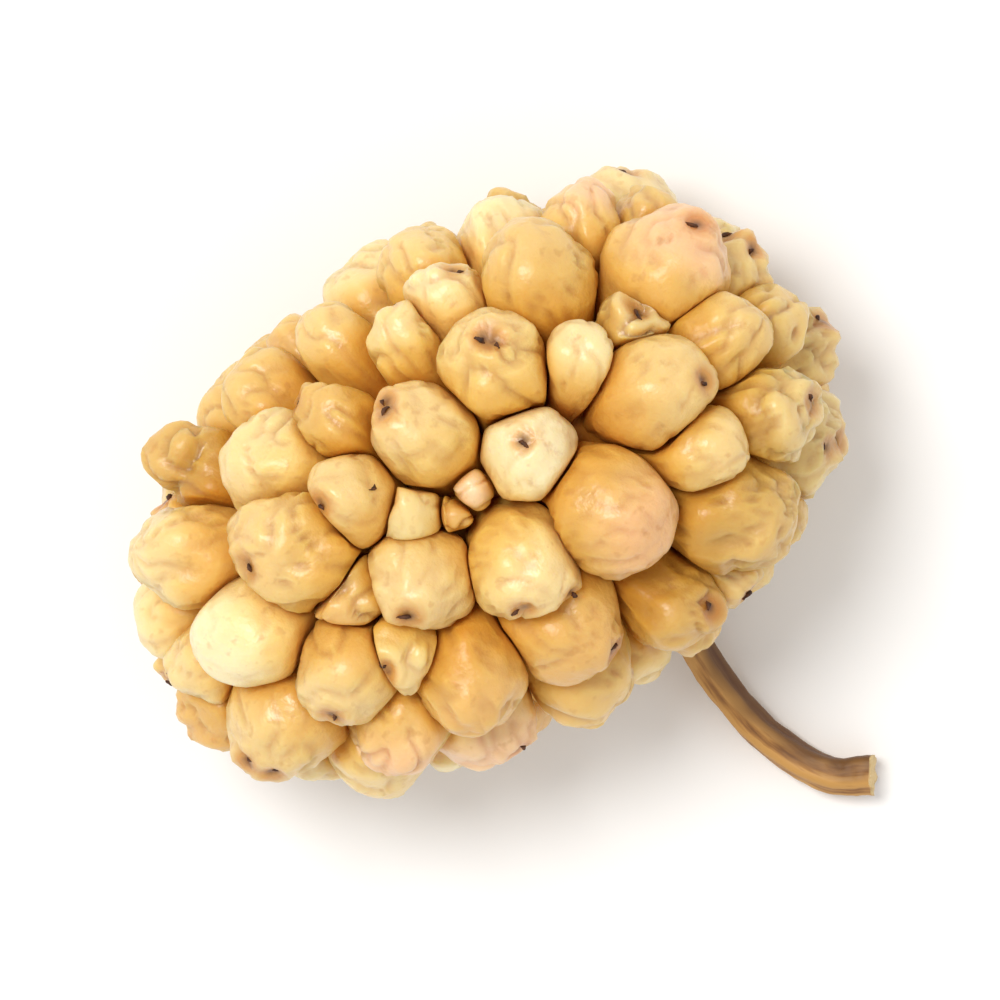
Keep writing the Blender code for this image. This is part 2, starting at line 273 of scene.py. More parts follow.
# Each kernel's own form: plump at first, then wrinkled, pitted and pressed flat by its neighbours
KERNEL_SIDES = 44
KERNEL_RINGS = 24
RING_CROWDING = 1.2  # above 1, the rings stand closer together at the visible end
PLUMPNESS = 1.035  # a head's width before its neighbours press on it, as a share of the solid's
FULLNESS = (0.82, 1.02)  # 1 is a round head, and less is squarer in the shoulders
WAIST = 1.5  # how slowly a kernel narrows to its root
OVALNESS = 0.1  # the most by which a kernel is wider one way than round
LEAN = 0.12  # the most by which a tip leans to one side, as a share of the radius
CONTACT_GAP = 0.02 * MM  # gap between two kernels' sides
CONTACT_REACH = 1.2 * MM  # heads farther apart than this never meet
CONTACT_ROUNDING = 0.085 * MM  # softness of the bend where a flank turns flat
LOOSENESS = (0.3, 1.6)  # that softness differs from kernel to kernel by this factor
CONTACT_BULGE = 0.6 * MM  # how far a firm kernel's side bows into a soft neighbour's
BOW_MIDDLE = 0.33  # share of that bow in a flank's middle, the rest being backward at its rim
CHANCE_FIRMNESS = 0.6  # the most firmness that a kernel has by chance
SIZE_FIRMNESS = 0.5  # more of it for each millimetre of radius short of the largest
CONTACT_SHADE_REACH = 0.16 * MM  # painted shade darkens the skin this near to a neighbour
DENT_SIZE = 1.1 * MM  # broad hollows where the flesh shrank
DENT_DEPTH = 0.19 * MM
CREASE_SIZE = 0.75 * MM  # sharp folds of the skin
CREASE_DEPTH = 0.12 * MM
CREASE_STRETCH = 0.45  # creases run along the kernel
CREASE_SHARPNESS = 0.09  # the lower, the narrower the folds
CRINKLE_SIZE = 0.42 * MM  # and its finer unevenness
CRINKLE_DEPTH = 0.055 * MM
SEAM_WIDTH = 0.10 * MM
SEAM_DEPTH = 0.075 * MM
SEAM_TURNS = (0, 0.5, 1, 1.5)  # the seams' places round the tip, in half turns
SEAM_BOW = 0.25
SEAM_FADE = 1.15  # the angle from the tip at which the seams end
STYLE_PIT_WIDTH = 0.20 * MM
STYLE_PIT_DEPTH = 0.12 * MM
STYLE_LIP = 0.07 * MM
STYLE_HALO = 0.3  # strength of the wide stain round a pit, the rest being in the pit itself
STYLE_HALO_WIDTH = 0.45 * MM
STYLE_SPREAD = (0.1, 0.55)  # how far from the tip the style ends stand, in radians
RIPPLE_SPACING = 0.5 * MM  # the skin drew in to folds round each style end
RIPPLE_REACH = 1.1 * MM
RIPPLE_DEPTH = 0.03 * MM
FLANK_LENGTH = 1.7  # the flank's amber and painted shade peak this far from the tip, as a share of the head's length
TONES = ("pale", "cream", "gold", "peach", "olive", "amber")
USUAL_TONES = ("cream", "cream", "gold", "gold", "gold", "peach", "olive", "amber")
SHADED_TONES = ("gold", "olive", "olive", "olive", "cream")
SHADED_SIDE = 3 * MM  # beyond this along the berry, more of the kernels dried to an olive tone
WRINKLING = {"pale": 0.5, "cream": 0.9, "gold": 1.1, "peach": 1.1, "olive": 1.8, "amber": 1.2}
WRINKLING_RANGE = (0.7, 1.4)


def kernel_axes(tips, radii):
    """Each kernel's root, direction, end and head's centre, lifted where the tray pressed it."""
    draw = random.Random(SEED + 1)
    leading = len(LEADING_KERNELS) + 1
    roots = tips * ROOT_PLACE
    axes = tips - roots
    axes /= np.linalg.norm(axes, axis=1, keepdims=True)
    sinks = SINK * (LARGEST - radii)
    sinks[leading:] += [draw.uniform(0, UNEVENNESS) for _ in radii[leading:]]
    ends = tips - axes * sinks[:, None]
    height = radii * HEAD_STRETCH * axes[:, 2]
    width = radii * BODY_WIDTH * np.hypot(axes[:, 0], axes[:, 1])
    lowest = ends[:, 2] - height - np.hypot(height, width)
    ends[:, 2] += np.clip(-HEAD_CENTRE[2] - PRESSED_IN - lowest, 0, None)
    return roots, axes, ends, ends - axes * (radii * HEAD_STRETCH)[:, None]


def smooth_rise(values, width):
    """Zero for values well below zero and the value itself well above, with a soft bend between."""
    return width * np.logaddexp(0, values / width)


def spine_points(points, root, axis, head):
    """The points of a kernel's spine, from its root to its head's centre, nearest these points."""
    reach = (head - root) @ axis
    along = np.clip((points - root) @ axis, 0, reach)
    return root + along[:, None] * axis, along / reach


def noise_values(points, size, offset):
    """Smooth noise between -1 and 1 at each point, with lumps of this size."""
    return np.array([noise.noise(Vector(point / size + offset)) for point in points])


def direction(polar, round_):
    """The unit direction at these angles from the Z axis and round it."""
    return np.array(
        (
            math.sin(polar) * math.cos(round_),
            math.sin(polar) * math.sin(round_),
            math.cos(polar),
        )
    )


def plump_kernel(radius, head, neck, draw):
    """A smooth upright kernel round its head's centre, with each point's angles."""
    angles = np.linspace(0, 2 * math.pi, KERNEL_SIDES, endpoint=False)
    polar = np.arange(1, KERNEL_RINGS + 1) / (KERNEL_RINGS + 1)
    polar = math.pi * polar**RING_CROWDING
    polar = np.concatenate(((0.0,), np.repeat(polar, KERNEL_SIDES), (math.pi,)))
    round_ = np.concatenate(((0.0,), np.tile(angles, KERNEL_RINGS), (0.0,)))
    wide = np.abs(np.sin(polar)) ** draw.uniform(*FULLNESS)
    up = np.cos(polar)
    width = radius * wide * (1 - (1 - ROOT_WIDTH) * np.clip(-up, 0, 1) ** WAIST)
    oval = draw.uniform(-OVALNESS, OVALNESS)
    width = width * (1 + oval * np.cos(2 * round_ + draw.uniform(0, math.pi)))
    high = np.where(up > 0, head, neck) * up
    local = np.stack((width * np.cos(round_), width * np.sin(round_), high), axis=1)
    lean = np.array((draw.uniform(-LEAN, LEAN), draw.uniform(-LEAN, LEAN), 0))
    local += lean * (np.clip(up, 0, 1) ** 2 * radius)[:, None]
    return local, polar, round_


def lobe_seams(local, polar, round_, number, draw):
    """Strength of the seams where the four fleshy lobes closed over the seed."""
    first_seam = draw.uniform(0, math.pi)
    off_axis = np.hypot(local[:, 0], local[:, 1])
    strength = draw.uniform(0.0, 0.7)
    seam = np.zeros(len(local))
    for turn in SEAM_TURNS:
        bow = SEAM_BOW * np.sin(polar * 3 + number + turn * 5)
        apart = (round_ - first_seam - turn * math.pi + bow + math.pi) % (2 * math.pi) - math.pi
        near = np.exp(-((apart * off_axis / SEAM_WIDTH) ** 2))
        seam = np.maximum(seam, near * draw.uniform(0.25, 1.0))
    return seam * strength * np.exp(-((polar / SEAM_FADE) ** 4))


def style_marks(local, radius, head, styles):
    """Strength of the stain in and round the style's pits, of their lips, and of the folds."""
    stain = np.zeros(len(local))
    lip = np.zeros(len(local))
    ripple = np.zeros(len(local))
    for style in styles:
        place = direction(*style) * (radius, radius, head)
        apart = np.linalg.norm(local - place, axis=1)
        pit = (1 - STYLE_HALO) * np.exp(-((apart / STYLE_PIT_WIDTH) ** 2))
        stain = np.maximum(stain, pit + STYLE_HALO * np.exp(-((apart / STYLE_HALO_WIDTH) ** 2)))
        lip = np.maximum(lip, np.exp(-((apart / STYLE_PIT_WIDTH - 2) ** 2)))
        stretched = np.linalg.norm((local - place) * (1, 0.75, 1), axis=1)
        wave = np.cos(2 * math.pi * stretched / RIPPLE_SPACING)
        ripple += wave * np.exp(-((apart / RIPPLE_REACH) ** 2))
    return stain, lip, ripple


def pressed(placed, number, kernels, firmness, looseness):
    """The points pressed back from the neighbours' flanks, and how near each is to a neighbour, for
    painted shade.
    """
    roots, axes, _, heads, radii = kernels
    radius = radii[number] * BODY_WIDTH * PLUMPNESS
    gaps = np.linalg.norm(heads - heads[number], axis=1) - radii - radii[number]
    crowded = np.zeros(len(placed))
    for other in np.argsort(gaps):
        if other == number or gaps[other] > CONTACT_REACH:
            continue
        own, own_along = spine_points(placed, roots[number], axes[number], heads[number])
        their, their_along = spine_points(placed, roots[other], axes[other], heads[other])
        between = their - own
        distance = np.linalg.norm(between, axis=1)
        towards = between / distance[:, None]
        own_width = radius * (ROOT_WIDTH + (1 - ROOT_WIDTH) * own_along)
        their_width = radii[other] * BODY_WIDTH * PLUMPNESS
        their_width = their_width * (ROOT_WIDTH + (1 - ROOT_WIDTH) * their_along)
        middle = (distance**2 + own_width**2 - their_width**2) / (2 * distance)
        forward = ((placed - own) * towards).sum(axis=1)
        sideways = np.sqrt(np.clip(((placed - own) ** 2).sum(axis=1) - forward**2, 0, None))
        bow = BOW_MIDDLE - np.clip(sideways * 2 / (own_width + their_width), 0, 1.2) ** 2
        middle += CONTACT_BULGE * (firmness[number] - firmness[other]) * bow
        past = forward - middle + CONTACT_GAP / 2
        rounding = CONTACT_ROUNDING * (looseness[number] + looseness[other]) / 2
        placed = placed - towards * smooth_rise(past, rounding)[:, None]
        # nearness to a neighbour, which the material darkens as painted shade
        crowded = np.maximum(crowded, np.exp(np.clip(past, -1, 0) / CONTACT_SHADE_REACH))
    return placed, crowded


def kernel_points(number, kernels, firmness, looseness, wrinkling, styles, draw):
    """The grid points of one kernel, and its values for the material at each."""
    roots, axes, ends, heads, radii = kernels
    radius = radii[number] * BODY_WIDTH * PLUMPNESS
    head = radii[number] * HEAD_STRETCH
    neck = np.linalg.norm(ends[number] - roots[number]) - head
    local, polar, round_ = plump_kernel(radius, head, neck, draw)
    outward = local - np.array((0, 0, 0.25 * head))
    outward /= np.linalg.norm(outward, axis=1, keepdims=True) + 1e-12
    seam = lobe_seams(local, polar, round_, number, draw)
    stain, lip, ripple = style_marks(local, radius, head, styles)
    turned = np.array(Vector(axes[number]).to_track_quat("Z", "Y").to_matrix())
    placed = local @ turned.T + heads[number]
    outward = outward @ turned.T
    offset = np.array((draw.uniform(0, 50), draw.uniform(0, 50), draw.uniform(0, 50)))
    dent = noise_values(placed, DENT_SIZE, offset)
    crinkle = noise_values(placed, CRINKLE_SIZE, offset)
    fold = noise_values(local * (1, 1, CREASE_STRETCH), CREASE_SIZE, offset)
    crease = np.exp(-((fold / CREASE_SHARPNESS) ** 2)) * np.clip(1.2 * np.sin(polar) + 0.15, 0, 1)
    rise = wrinkling * (DENT_DEPTH * dent + CRINKLE_DEPTH * crinkle - CREASE_DEPTH * crease)
    rise += STYLE_LIP * lip - STYLE_PIT_DEPTH * stain - SEAM_DEPTH * seam
    rise += wrinkling * RIPPLE_DEPTH * ripple
    seam = np.maximum(seam, wrinkling * np.maximum(0.5 * crease, -0.4 * ripple))
    placed = placed + outward * rise[:, None]
    # how far down its flank each point lies: the material paints shade deeper down, and a highlight
    # on the tops
    depth = np.clip((ends[number] - placed) @ axes[number] / (FLANK_LENGTH * head), 0, 1)
    placed, crowded = pressed(placed, number, kernels, firmness, looseness)
    return placed, {"depth": depth, "contact_shade": crowded, "stain": stain, "seam": seam}


def clear_of_stalk(points, line):
    """The points moved out of the way of the stalk, which passes between the kernels."""
    apart = points[:, None] - line[None]
    distance = np.linalg.norm(apart, axis=2)
    nearest = distance.argmin(axis=1)
    rows = np.arange(len(points))
    away = apart[rows, nearest]
    short = distance[rows, nearest]
    wanted = STALK_RADIUS + CONTACT_GAP
    push = np.clip(wanted - short, 0, None)
    return points + away / (short + 1e-9)[:, None] * push[:, None]


def grid_faces(start, sides, rings):
    """Faces of a closed grid: a pole, rings of points round an axis, and a pole."""
    first = start + 1
    last = start + 1 + sides * rings
    faces = []
    for i in range(sides):
        after = (i + 1) % sides
        faces.append((start, first + i, first + after))
        for ring in range(rings - 1):
            low = first + ring * sides
            faces.append((low + i, low + sides + i, low + sides + after, low + after))
        low = first + (rings - 1) * sides
        faces.append((last, low + after, low + i))
    return faces


def add_piece(name, points, faces):
    """A smooth-shaded mesh object of these points and faces."""
    mesh = bpy.data.meshes.new(name)
    mesh.from_pydata(np.asarray(points).tolist(), [], faces)
    mesh.shade_smooth()
    piece = bpy.data.objects.new(name, mesh)
    bpy.context.scene.collection.objects.link(piece)
    return piece


def store_values(mesh, values):
    """Stores each named list of numbers on the mesh's points, for the material to read."""
    for name, numbers in values.items():
        attribute = mesh.attributes.new(name, "FLOAT", "POINT")
        attribute.data.foreach_set("value", np.asarray(numbers, dtype=np.float32))


tips, radii = kernel_layout()
kernels = (*kernel_axes(tips, radii), radii)
stalk_middle = stalk_line(60)
draw = random.Random(SEED + 1)
firmness = CHANCE_FIRMNESS * np.array([draw.random() for _ in tips])
firmness += SIZE_FIRMNESS * (LARGEST - radii) / MM
looseness = [draw.uniform(*LOOSENESS) for _ in tips]

head_points = []
head_faces = []
head_values = {"depth": [], "contact_shade": [], "stain": [], "seam": [], "tone": [], "shade": []}
style_places = []
point_count = 2 + KERNEL_SIDES * KERNEL_RINGS
for number in range(len(tips)):
    if number < len(LEADING_KERNELS):
        tone, style_count = LEADING_KERNELS[number][3:]
    else:
        tone = draw.choice(SHADED_TONES if tips[number, 0] > SHADED_SIDE else USUAL_TONES)
        style_count = draw.choice((0, 0, 1, 1, 2))
    styles = [
        (draw.uniform(*STYLE_SPREAD), draw.uniform(0, 2 * math.pi)) for _ in range(style_count)
    ]
    wrinkling = WRINKLING[tone] * draw.uniform(*WRINKLING_RANGE)
    points, values = kernel_points(number, kernels, firmness, looseness, wrinkling, styles, draw)
    values["tone"] = np.full(point_count, TONES.index(tone) / (len(TONES) - 1))
    values["shade"] = np.full(point_count, draw.random())
    points = clear_of_stalk(points, stalk_middle) + HEAD_CENTRE
    points[:, 2] = np.maximum(points[:, 2], 0)
    head_points.append(points)
    head_faces += grid_faces(number * point_count, KERNEL_SIDES, KERNEL_RINGS)
    for name, numbers in values.items():
        head_values[name].append(numbers)
    style_places += [(number, *style) for style in styles]
head = add_piece("kernels", np.vstack(head_points), head_faces)

# The core, grown together with the kernels' roots
CORE_SIDES = 48
CORE_RINGS = 30
core_directions = [(0, 0, 1)]
for ring in range(1, CORE_RINGS + 1):
    polar = math.pi * ring / (CORE_RINGS + 1)
    core_directions += [
        direction(polar, 2 * math.pi * side / CORE_SIDES) for side in range(CORE_SIDES)
    ]
core_directions.append((0, 0, -1))
core_points = envelope_points(np.array(core_directions), CORE_INSET) + HEAD_CENTRE
core_points[:, 2] = np.maximum(core_points[:, 2], CORE_INSET)
core = add_piece("core", core_points, grid_faces(0, CORE_SIDES, CORE_RINGS))
union = head.modifiers.new("core", "BOOLEAN")
union.operation = "UNION"
union.object = core
union.solver = "MANIFOLD"
graph = bpy.context.evaluated_depsgraph_get()
joined = bpy.data.meshes.new_from_object(head.evaluated_get(graph))
head.modifiers.clear()
head.data = joined
bpy.data.objects.remove(core)

# Each point of the joined skin takes its values from the nearest point that it was made from
# the core, deep between the kernels, takes the fullest painted shade
CORE_VALUES = {
    "depth": 1.0,
    "contact_shade": 1.0,
    "stain": 0.0,
    "seam": 0.0,
    "tone": 0.4,
    "shade": 0.5,
}
sources = np.vstack((*head_points, core_points))
near_source = KDTree(len(sources))
for i, point in enumerate(sources):
    near_source.insert(point, i)
near_source.balance()
nearest = [near_source.find(vertex.co)[1] for vertex in joined.vertices]
for name, core_value in CORE_VALUES.items():
    numbers = np.append(np.concatenate(head_values[name]), np.full(len(core_points), core_value))
    head_values[name] = numbers[nearest]
store_values(joined, head_values)


def linear(hex_code):
    """A linear colour with full alpha from an sRGB hex value."""
    levels = [int(hex_code[i : i + 2], 16) / 255 for i in (1, 3, 5)]
    return (*[v / 12.92 if v <= 0.04045 else ((v + 0.055) / 1.055) ** 2.4 for v in levels], 1)


def add_node(tree, kind, settings=(), inputs=(), links=(), stops=()):
    """Adds a node with its settings, its input values and links, and its ramp's colours."""
    made = tree.nodes.new(kind)
    for name, value in dict(settings).items():
        setattr(made, name, value)
    for name, value in dict(inputs).items():
        made.inputs[name].default_value = value
    for name, output in dict(links).items():
        tree.links.new(output, made.inputs[name])
    for spot, (position, hex_code) in enumerate(stops):
        if spot < 2:
            element = made.color_ramp.elements[spot]
            element.position = position
        else:
            element = made.color_ramp.elements.new(position)
        element.color = linear(hex_code)
    return made


def new_material(name):
    """A material with an empty node tree."""
    made = bpy.data.materials.new(name)
    made.use_nodes = True
    made.node_tree.nodes.clear()
    return made


# Dried fruit flesh: sugar-rich skin dried by the sun, with a faint bloom and no coating. Light sinks
# into its pale, waxy tops, which carry a painted highlight, and into its amber flanks, which painted
# shade darkens towards the roots and turns brown where kernels meet.
BLOTCH_SIZE = 1.6 * MM
GRAIN_SIZE = 0.16 * MM
SPECK_SIZE = 0.3 * MM
SKIN_CREASE_SIZE = 0.9 * MM
SKIN_RELIEF = 0.04 * MM
LIGHT_SINKS_IN = 1.0 * MM

flesh = new_material("sun_dried_mulberry_flesh")
tree = flesh.node_tree
place = add_node(tree, "ShaderNodeTexCoord").outputs["Object"]
stored = {
    name: add_node(tree, "ShaderNodeAttribute", {"attribute_name": name}).outputs["Fac"]
    for name in CORE_VALUES
}
blotches, grain, specks = (
    add_node(
        tree, "ShaderNodeTexNoise", {}, {"Scale": 1 / size, "Detail": detail}, {"Vector": place}
    ).outputs["Fac"]
    for size, detail in ((BLOTCH_SIZE, 4), (GRAIN_SIZE, 3), (SPECK_SIZE, 2))
)
# Depth down a kernel's flank, made uneven by the blotches
uneven = add_node(
    tree, "ShaderNodeMath", {"operation": "MULTIPLY_ADD"}, {1: 0.5, 2: -0.25}, {0: blotches}
).outputs[0]
deep = add_node(
    tree,
    "ShaderNodeMath",
    {"operation": "ADD", "use_clamp": True},
    {},
    {0: stored["depth"], 1: uneven},
).outputs[0]
# The skin by the tone that a kernel dried to; the flank's own amber, with painted shade that darkens
# it down towards the roots; and a painted highlight on the tops, rosy on the plumpest kernels. A
# ramp's first and last colours come first.
RAMPS = (
    (
        stored["tone"],
        (
            (0.0, "#F3E0AA"),
            (1.0, "#E2BC6E"),
            (0.2, "#EED394"),
            (0.4, "#E8CA80"),
            (0.6, "#E9CB86"),
            (0.8, "#DAC07C"),
        ),
    ),
    (
        deep,
        (
            (0.0, "#FFFFFF"),
            (1.0, "#D09A5E"),
            (0.28, "#FFF8E2"),
            (0.50, "#FCE8BE"),
            (0.74, "#F3D6A0"),
        ),
    ),
    (
        stored["tone"],
        (
            (0.0, "#FBEFC8"),
            (1.0, "#E9BE7C"),
            (0.3, "#F4E0AE"),
            (0.5, "#F2D49C"),
            (0.6, "#FBCDB0"),
            (0.7, "#F0DCA8"),
        ),
    ),
)
skin_colour, flank_colour_and_shade, painted_highlight_colour = (
    add_node(tree, "ShaderNodeValToRGB", {}, {}, {"Fac": value}, stops).outputs["Color"]
    for value, stops in RAMPS
)
skin = add_node(
    tree,
    "ShaderNodeMix",
    {"data_type": "RGBA", "blend_type": "MULTIPLY"},
    {0: 1.0},
    {6: skin_colour, 7: flank_colour_and_shade},
).outputs[2]
# painted highlight: the tops are mixed towards a paler colour
top = add_node(
    tree,
    "ShaderNodeMapRange",
    {},
    {"From Min": 0.40, "From Max": 0.10, "To Min": 0.0, "To Max": 0.65},
    {"Value": deep},
).outputs[0]
skin = add_node(
    tree, "ShaderNodeMix", {"data_type": "RGBA"}, {}, {0: top, 6: skin, 7: painted_highlight_colour}
).outputs[2]
# Colours laid over it: what each follows, the values between which it comes in, the most of it
# that is laid on, how, and the colour
LAYERS = (
    (stored["shade"], 0.0, 1.0, 1.0, "MULTIPLY", "#EBD8B0"),  # duller kernels
    (specks, 0.60, 0.74, 0.3, "MIX", "#B87A38"),  # brown specks
    (stored["seam"], 0.0, 2.5, 0.95, "MIX", "#AC7434"),  # darker along the seams, creases and fold troughs
    (stored["contact_shade"], 0.25, 1.0, 0.5, "MULTIPLY", "#F2D6A2"),  # painted shade along the lines where kernels meet
    (stored["stain"], 0.03, 0.35, 0.75, "MULTIPLY", "#E0B26E"),  # the skin round a pit
    (stored["stain"], 0.4, 1.0, 0.9, "MIX", "#6B3A14"),  # the pit
)
for value, low, high, most, blend, hex_code in LAYERS:
    share = add_node(
        tree,
        "ShaderNodeMapRange",
        {},
        {"From Min": low, "From Max": high, "To Max": most},
        {"Value": value},
    ).outputs[0]
    skin = add_node(
        tree,
        "ShaderNodeMix",
        {"data_type": "RGBA", "blend_type": blend},
        {7: linear(hex_code)},
        {0: share, 6: skin},
    ).outputs[2]
roughness = add_node(
    tree,
    "ShaderNodeMapRange",
    {},
    {"From Min": 0.3, "From Max": 0.7, "To Min": 0.28, "To Max": 0.44},
    {"Value": blotches},
).outputs[0]
# Fine creases of the dried skin, with its grain between them
creases = add_node(
    tree,
    "ShaderNodeTexNoise",
    {"noise_type": "RIDGED_MULTIFRACTAL"},
    {"Scale": 1 / SKIN_CREASE_SIZE, "Detail": 3, "Distortion": 0.6},
    {"Vector": place},
).outputs["Fac"]
creased = add_node(
    tree, "ShaderNodeMath", {"operation": "MULTIPLY_ADD"}, {1: -0.5}, {0: creases, 2: grain}
).outputs[0]
relief = add_node(
    tree, "ShaderNodeBump", {}, {"Strength": 0.7, "Distance": SKIN_RELIEF}, {"Height": creased}
).outputs["Normal"]
# Down between the kernels the skin is dull, and on the tops it has a waxy gloss
shine = add_node(
    tree,
    "ShaderNodeMapRange",
    {},
    {"From Min": 0.4, "From Max": 0.75, "To Min": 0.5, "To Max": 0.05},
    {"Value": deep},
).outputs[0]
gloss = add_node(
    tree, "ShaderNodeMath", {"operation": "MULTIPLY"}, {1: 0.4}, {0: shine}
).outputs[0]
shader = add_node(
    tree,
    "ShaderNodeBsdfPrincipled",
    {},
    {
        "Subsurface Weight": 0.55,
        "Subsurface Radius": (1.0, 0.75, 0.35),
        "Subsurface Scale": LIGHT_SINKS_IN,
        "IOR": 1.47,
        "Coat Roughness": 0.26,
    },
    {
        "Base Color": skin,
        "Roughness": roughness,
        "Specular IOR Level": shine,
        "Coat Weight": gloss,
        "Normal": relief,
    },
).outputs[0]
add_node(tree, "ShaderNodeOutputMaterial", {}, {}, {"Surface": shader})
head.data.materials.clear()
head.data.materials.append(flesh)
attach(head, "root")
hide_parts("fruit")

# Style ends
#
# Each drupelet's flower ended in a style of two short threads. They dried with the fruit to
# dark, brittle specks and curls, still stuck in the small pits at the tops of the kernels.
STYLE_RADIUS = 0.075 * MM
STYLE_LENGTHS = (0.10 * MM, 0.34 * MM)
STYLE_SUNK = 0.4  # how far the thread's root lies in the pit, as a share of its radius
STYLE_ARCH = 0.5  # how far its middle rises, as a share of its radius
STYLE_CURL = 1.2  # the most by which it turns aside, in radians
STYLE_TAPER = 0.62  # how much of its girth it loses to its end
STYLE_LUMPS = (0.75, 1.25)  # its girth is uneven by this factor
LOWEST_STYLE = 0.2 * MM  # below this, the tray rubbed the style ends off
SEARCH_START = 3 * MM  # from a head's centre, out beyond its skin
THREAD_SIDES = 7
THREAD_RINGS = 7


def outward_faces(mesh):
    """Turns all of a closed mesh's faces outward."""
    shape = bmesh.new()
    shape.from_mesh(mesh)
    bmesh.ops.recalc_face_normals(shape, faces=shape.faces)
    shape.to_mesh(mesh)
    shape.free()


surface = BVHTree.FromObject(head, bpy.context.evaluated_depsgraph_get())
_, axes, _, heads, _ = kernels
style_points = []
style_faces = []
for number, polar, round_ in style_places:
    turn = Vector(axes[number]).to_track_quat("Z", "Y").to_matrix()
    outward = turn @ Vector(direction(polar, round_))
    start = Vector(heads[number] + HEAD_CENTRE) + outward * SEARCH_START
    hit, normal, _, _ = surface.ray_cast(start, -outward)
    if hit is None or hit.z < LOWEST_STYLE:
        continue
    flat = normal.orthogonal().normalized()
    flat.rotate(Matrix.Rotation(draw.uniform(0, 2 * math.pi), 3, normal))
    across = normal.cross(flat)
    length = draw.uniform(*STYLE_LENGTHS)
    curl = draw.uniform(-STYLE_CURL, STYLE_CURL)
    base = len(style_points) * (2 + THREAD_SIDES * THREAD_RINGS)
    ring_points = [hit - normal * STYLE_RADIUS * STYLE_SUNK - flat * STYLE_RADIUS]
    for ring in range(THREAD_RINGS):
        along = (ring + 0.5) / THREAD_RINGS
        bend = curl * along
        middle = (
            hit
            + flat * (length * math.cos(bend) * along)
            + across * (length * math.sin(bend) * along)
            + normal * (STYLE_RADIUS * STYLE_ARCH * math.sin(math.pi * along))
        )
        swell = math.sin(math.pi * min(along * 1.6 + 0.1, 0.5))
        thick = STYLE_RADIUS * (swell - STYLE_TAPER * along)
        for side in range(THREAD_SIDES):
            angle = 2 * math.pi * side / THREAD_SIDES
            reach = thick * draw.uniform(*STYLE_LUMPS)
            ring_points.append(
                middle + across * math.cos(angle) * reach + normal * math.sin(angle) * reach
            )
    ring_points.append(ring_points[-1] + flat * STYLE_RADIUS * 0.2)
    style_points.append(np.array(ring_points))
    style_faces += grid_faces(base, THREAD_SIDES, THREAD_RINGS)
style_ends = add_piece("style_ends", np.vstack(style_points), style_faces)
outward_faces(style_ends.data)

# Dried plant thread: brittle brown fibre, matt, a little lighter where it's worn
WORN_SPOTS = 0.12 * MM
THREAD_RELIEF = 0.01 * MM

style_fibre = new_material("dried_style_fibre")
tree = style_fibre.node_tree
place = add_node(tree, "ShaderNodeTexCoord").outputs["Object"]
patches = add_node(
    tree, "ShaderNodeTexNoise", {}, {"Scale": 1 / WORN_SPOTS, "Detail": 2}, {"Vector": place}
).outputs["Fac"]
colour = add_node(
    tree, "ShaderNodeValToRGB", {}, {}, {"Fac": patches}, ((0.3, "#2B1508"), (0.75, "#6A3C18"))
).outputs["Color"]
relief = add_node(
    tree, "ShaderNodeBump", {}, {"Strength": 0.5, "Distance": THREAD_RELIEF}, {"Height": patches}
).outputs["Normal"]
shader = add_node(
    tree,
    "ShaderNodeBsdfPrincipled",
    {},
    {"Roughness": 0.7},
    {"Base Color": colour, "Normal": relief},
).outputs[0]
add_node(tree, "ShaderNodeOutputMaterial", {}, {}, {"Surface": shader})
style_ends.data.materials.append(style_fibre)
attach(style_ends, "root")

# Stalk
#
# The berry hung from its twig by a thin green stalk. Dried, it has gone brown and woody, drawn
# in to ridges along its length, and curled. It grows from the core and was torn off at its end.
STALK_RINGS = 150
STALK_SIDES = 40
STALK_GIRTH = 0.96  # its radius on the ridges, as a share of the solid's
STALK_CUT_END = 1.22  # the torn end is this much thicker
RIDGES = 5
RIDGE_DEPTH = 0.13  # as a share of the radius
RIDGE_TWIST = 5  # turn of the ridges along the stalk, in radians
RIDGE_WANDER = 0.8  # and how far they swing to and fro
ROUGHNESS_PITCH = np.array((1.6, 1.6, 14))  # noise steps across the stalk and along it
ROUGH = 0.07
FINER = 3.1
FINE_ROUGH = 0.03
PAINTED_SHADE_SIDE = math.radians(285)  # from the top: the side darkened by painted shade faces +X
GRAIN_LENGTH = 1.2 * MM  # the fibres' pattern is drawn out to the stalk's length from this
END_RINGS = (0.72, 0.42, 0.18)  # across the torn end, as shares of its radius
END_RAGGED = 0.09 * MM
END_HOLLOW = 0.10 * MM

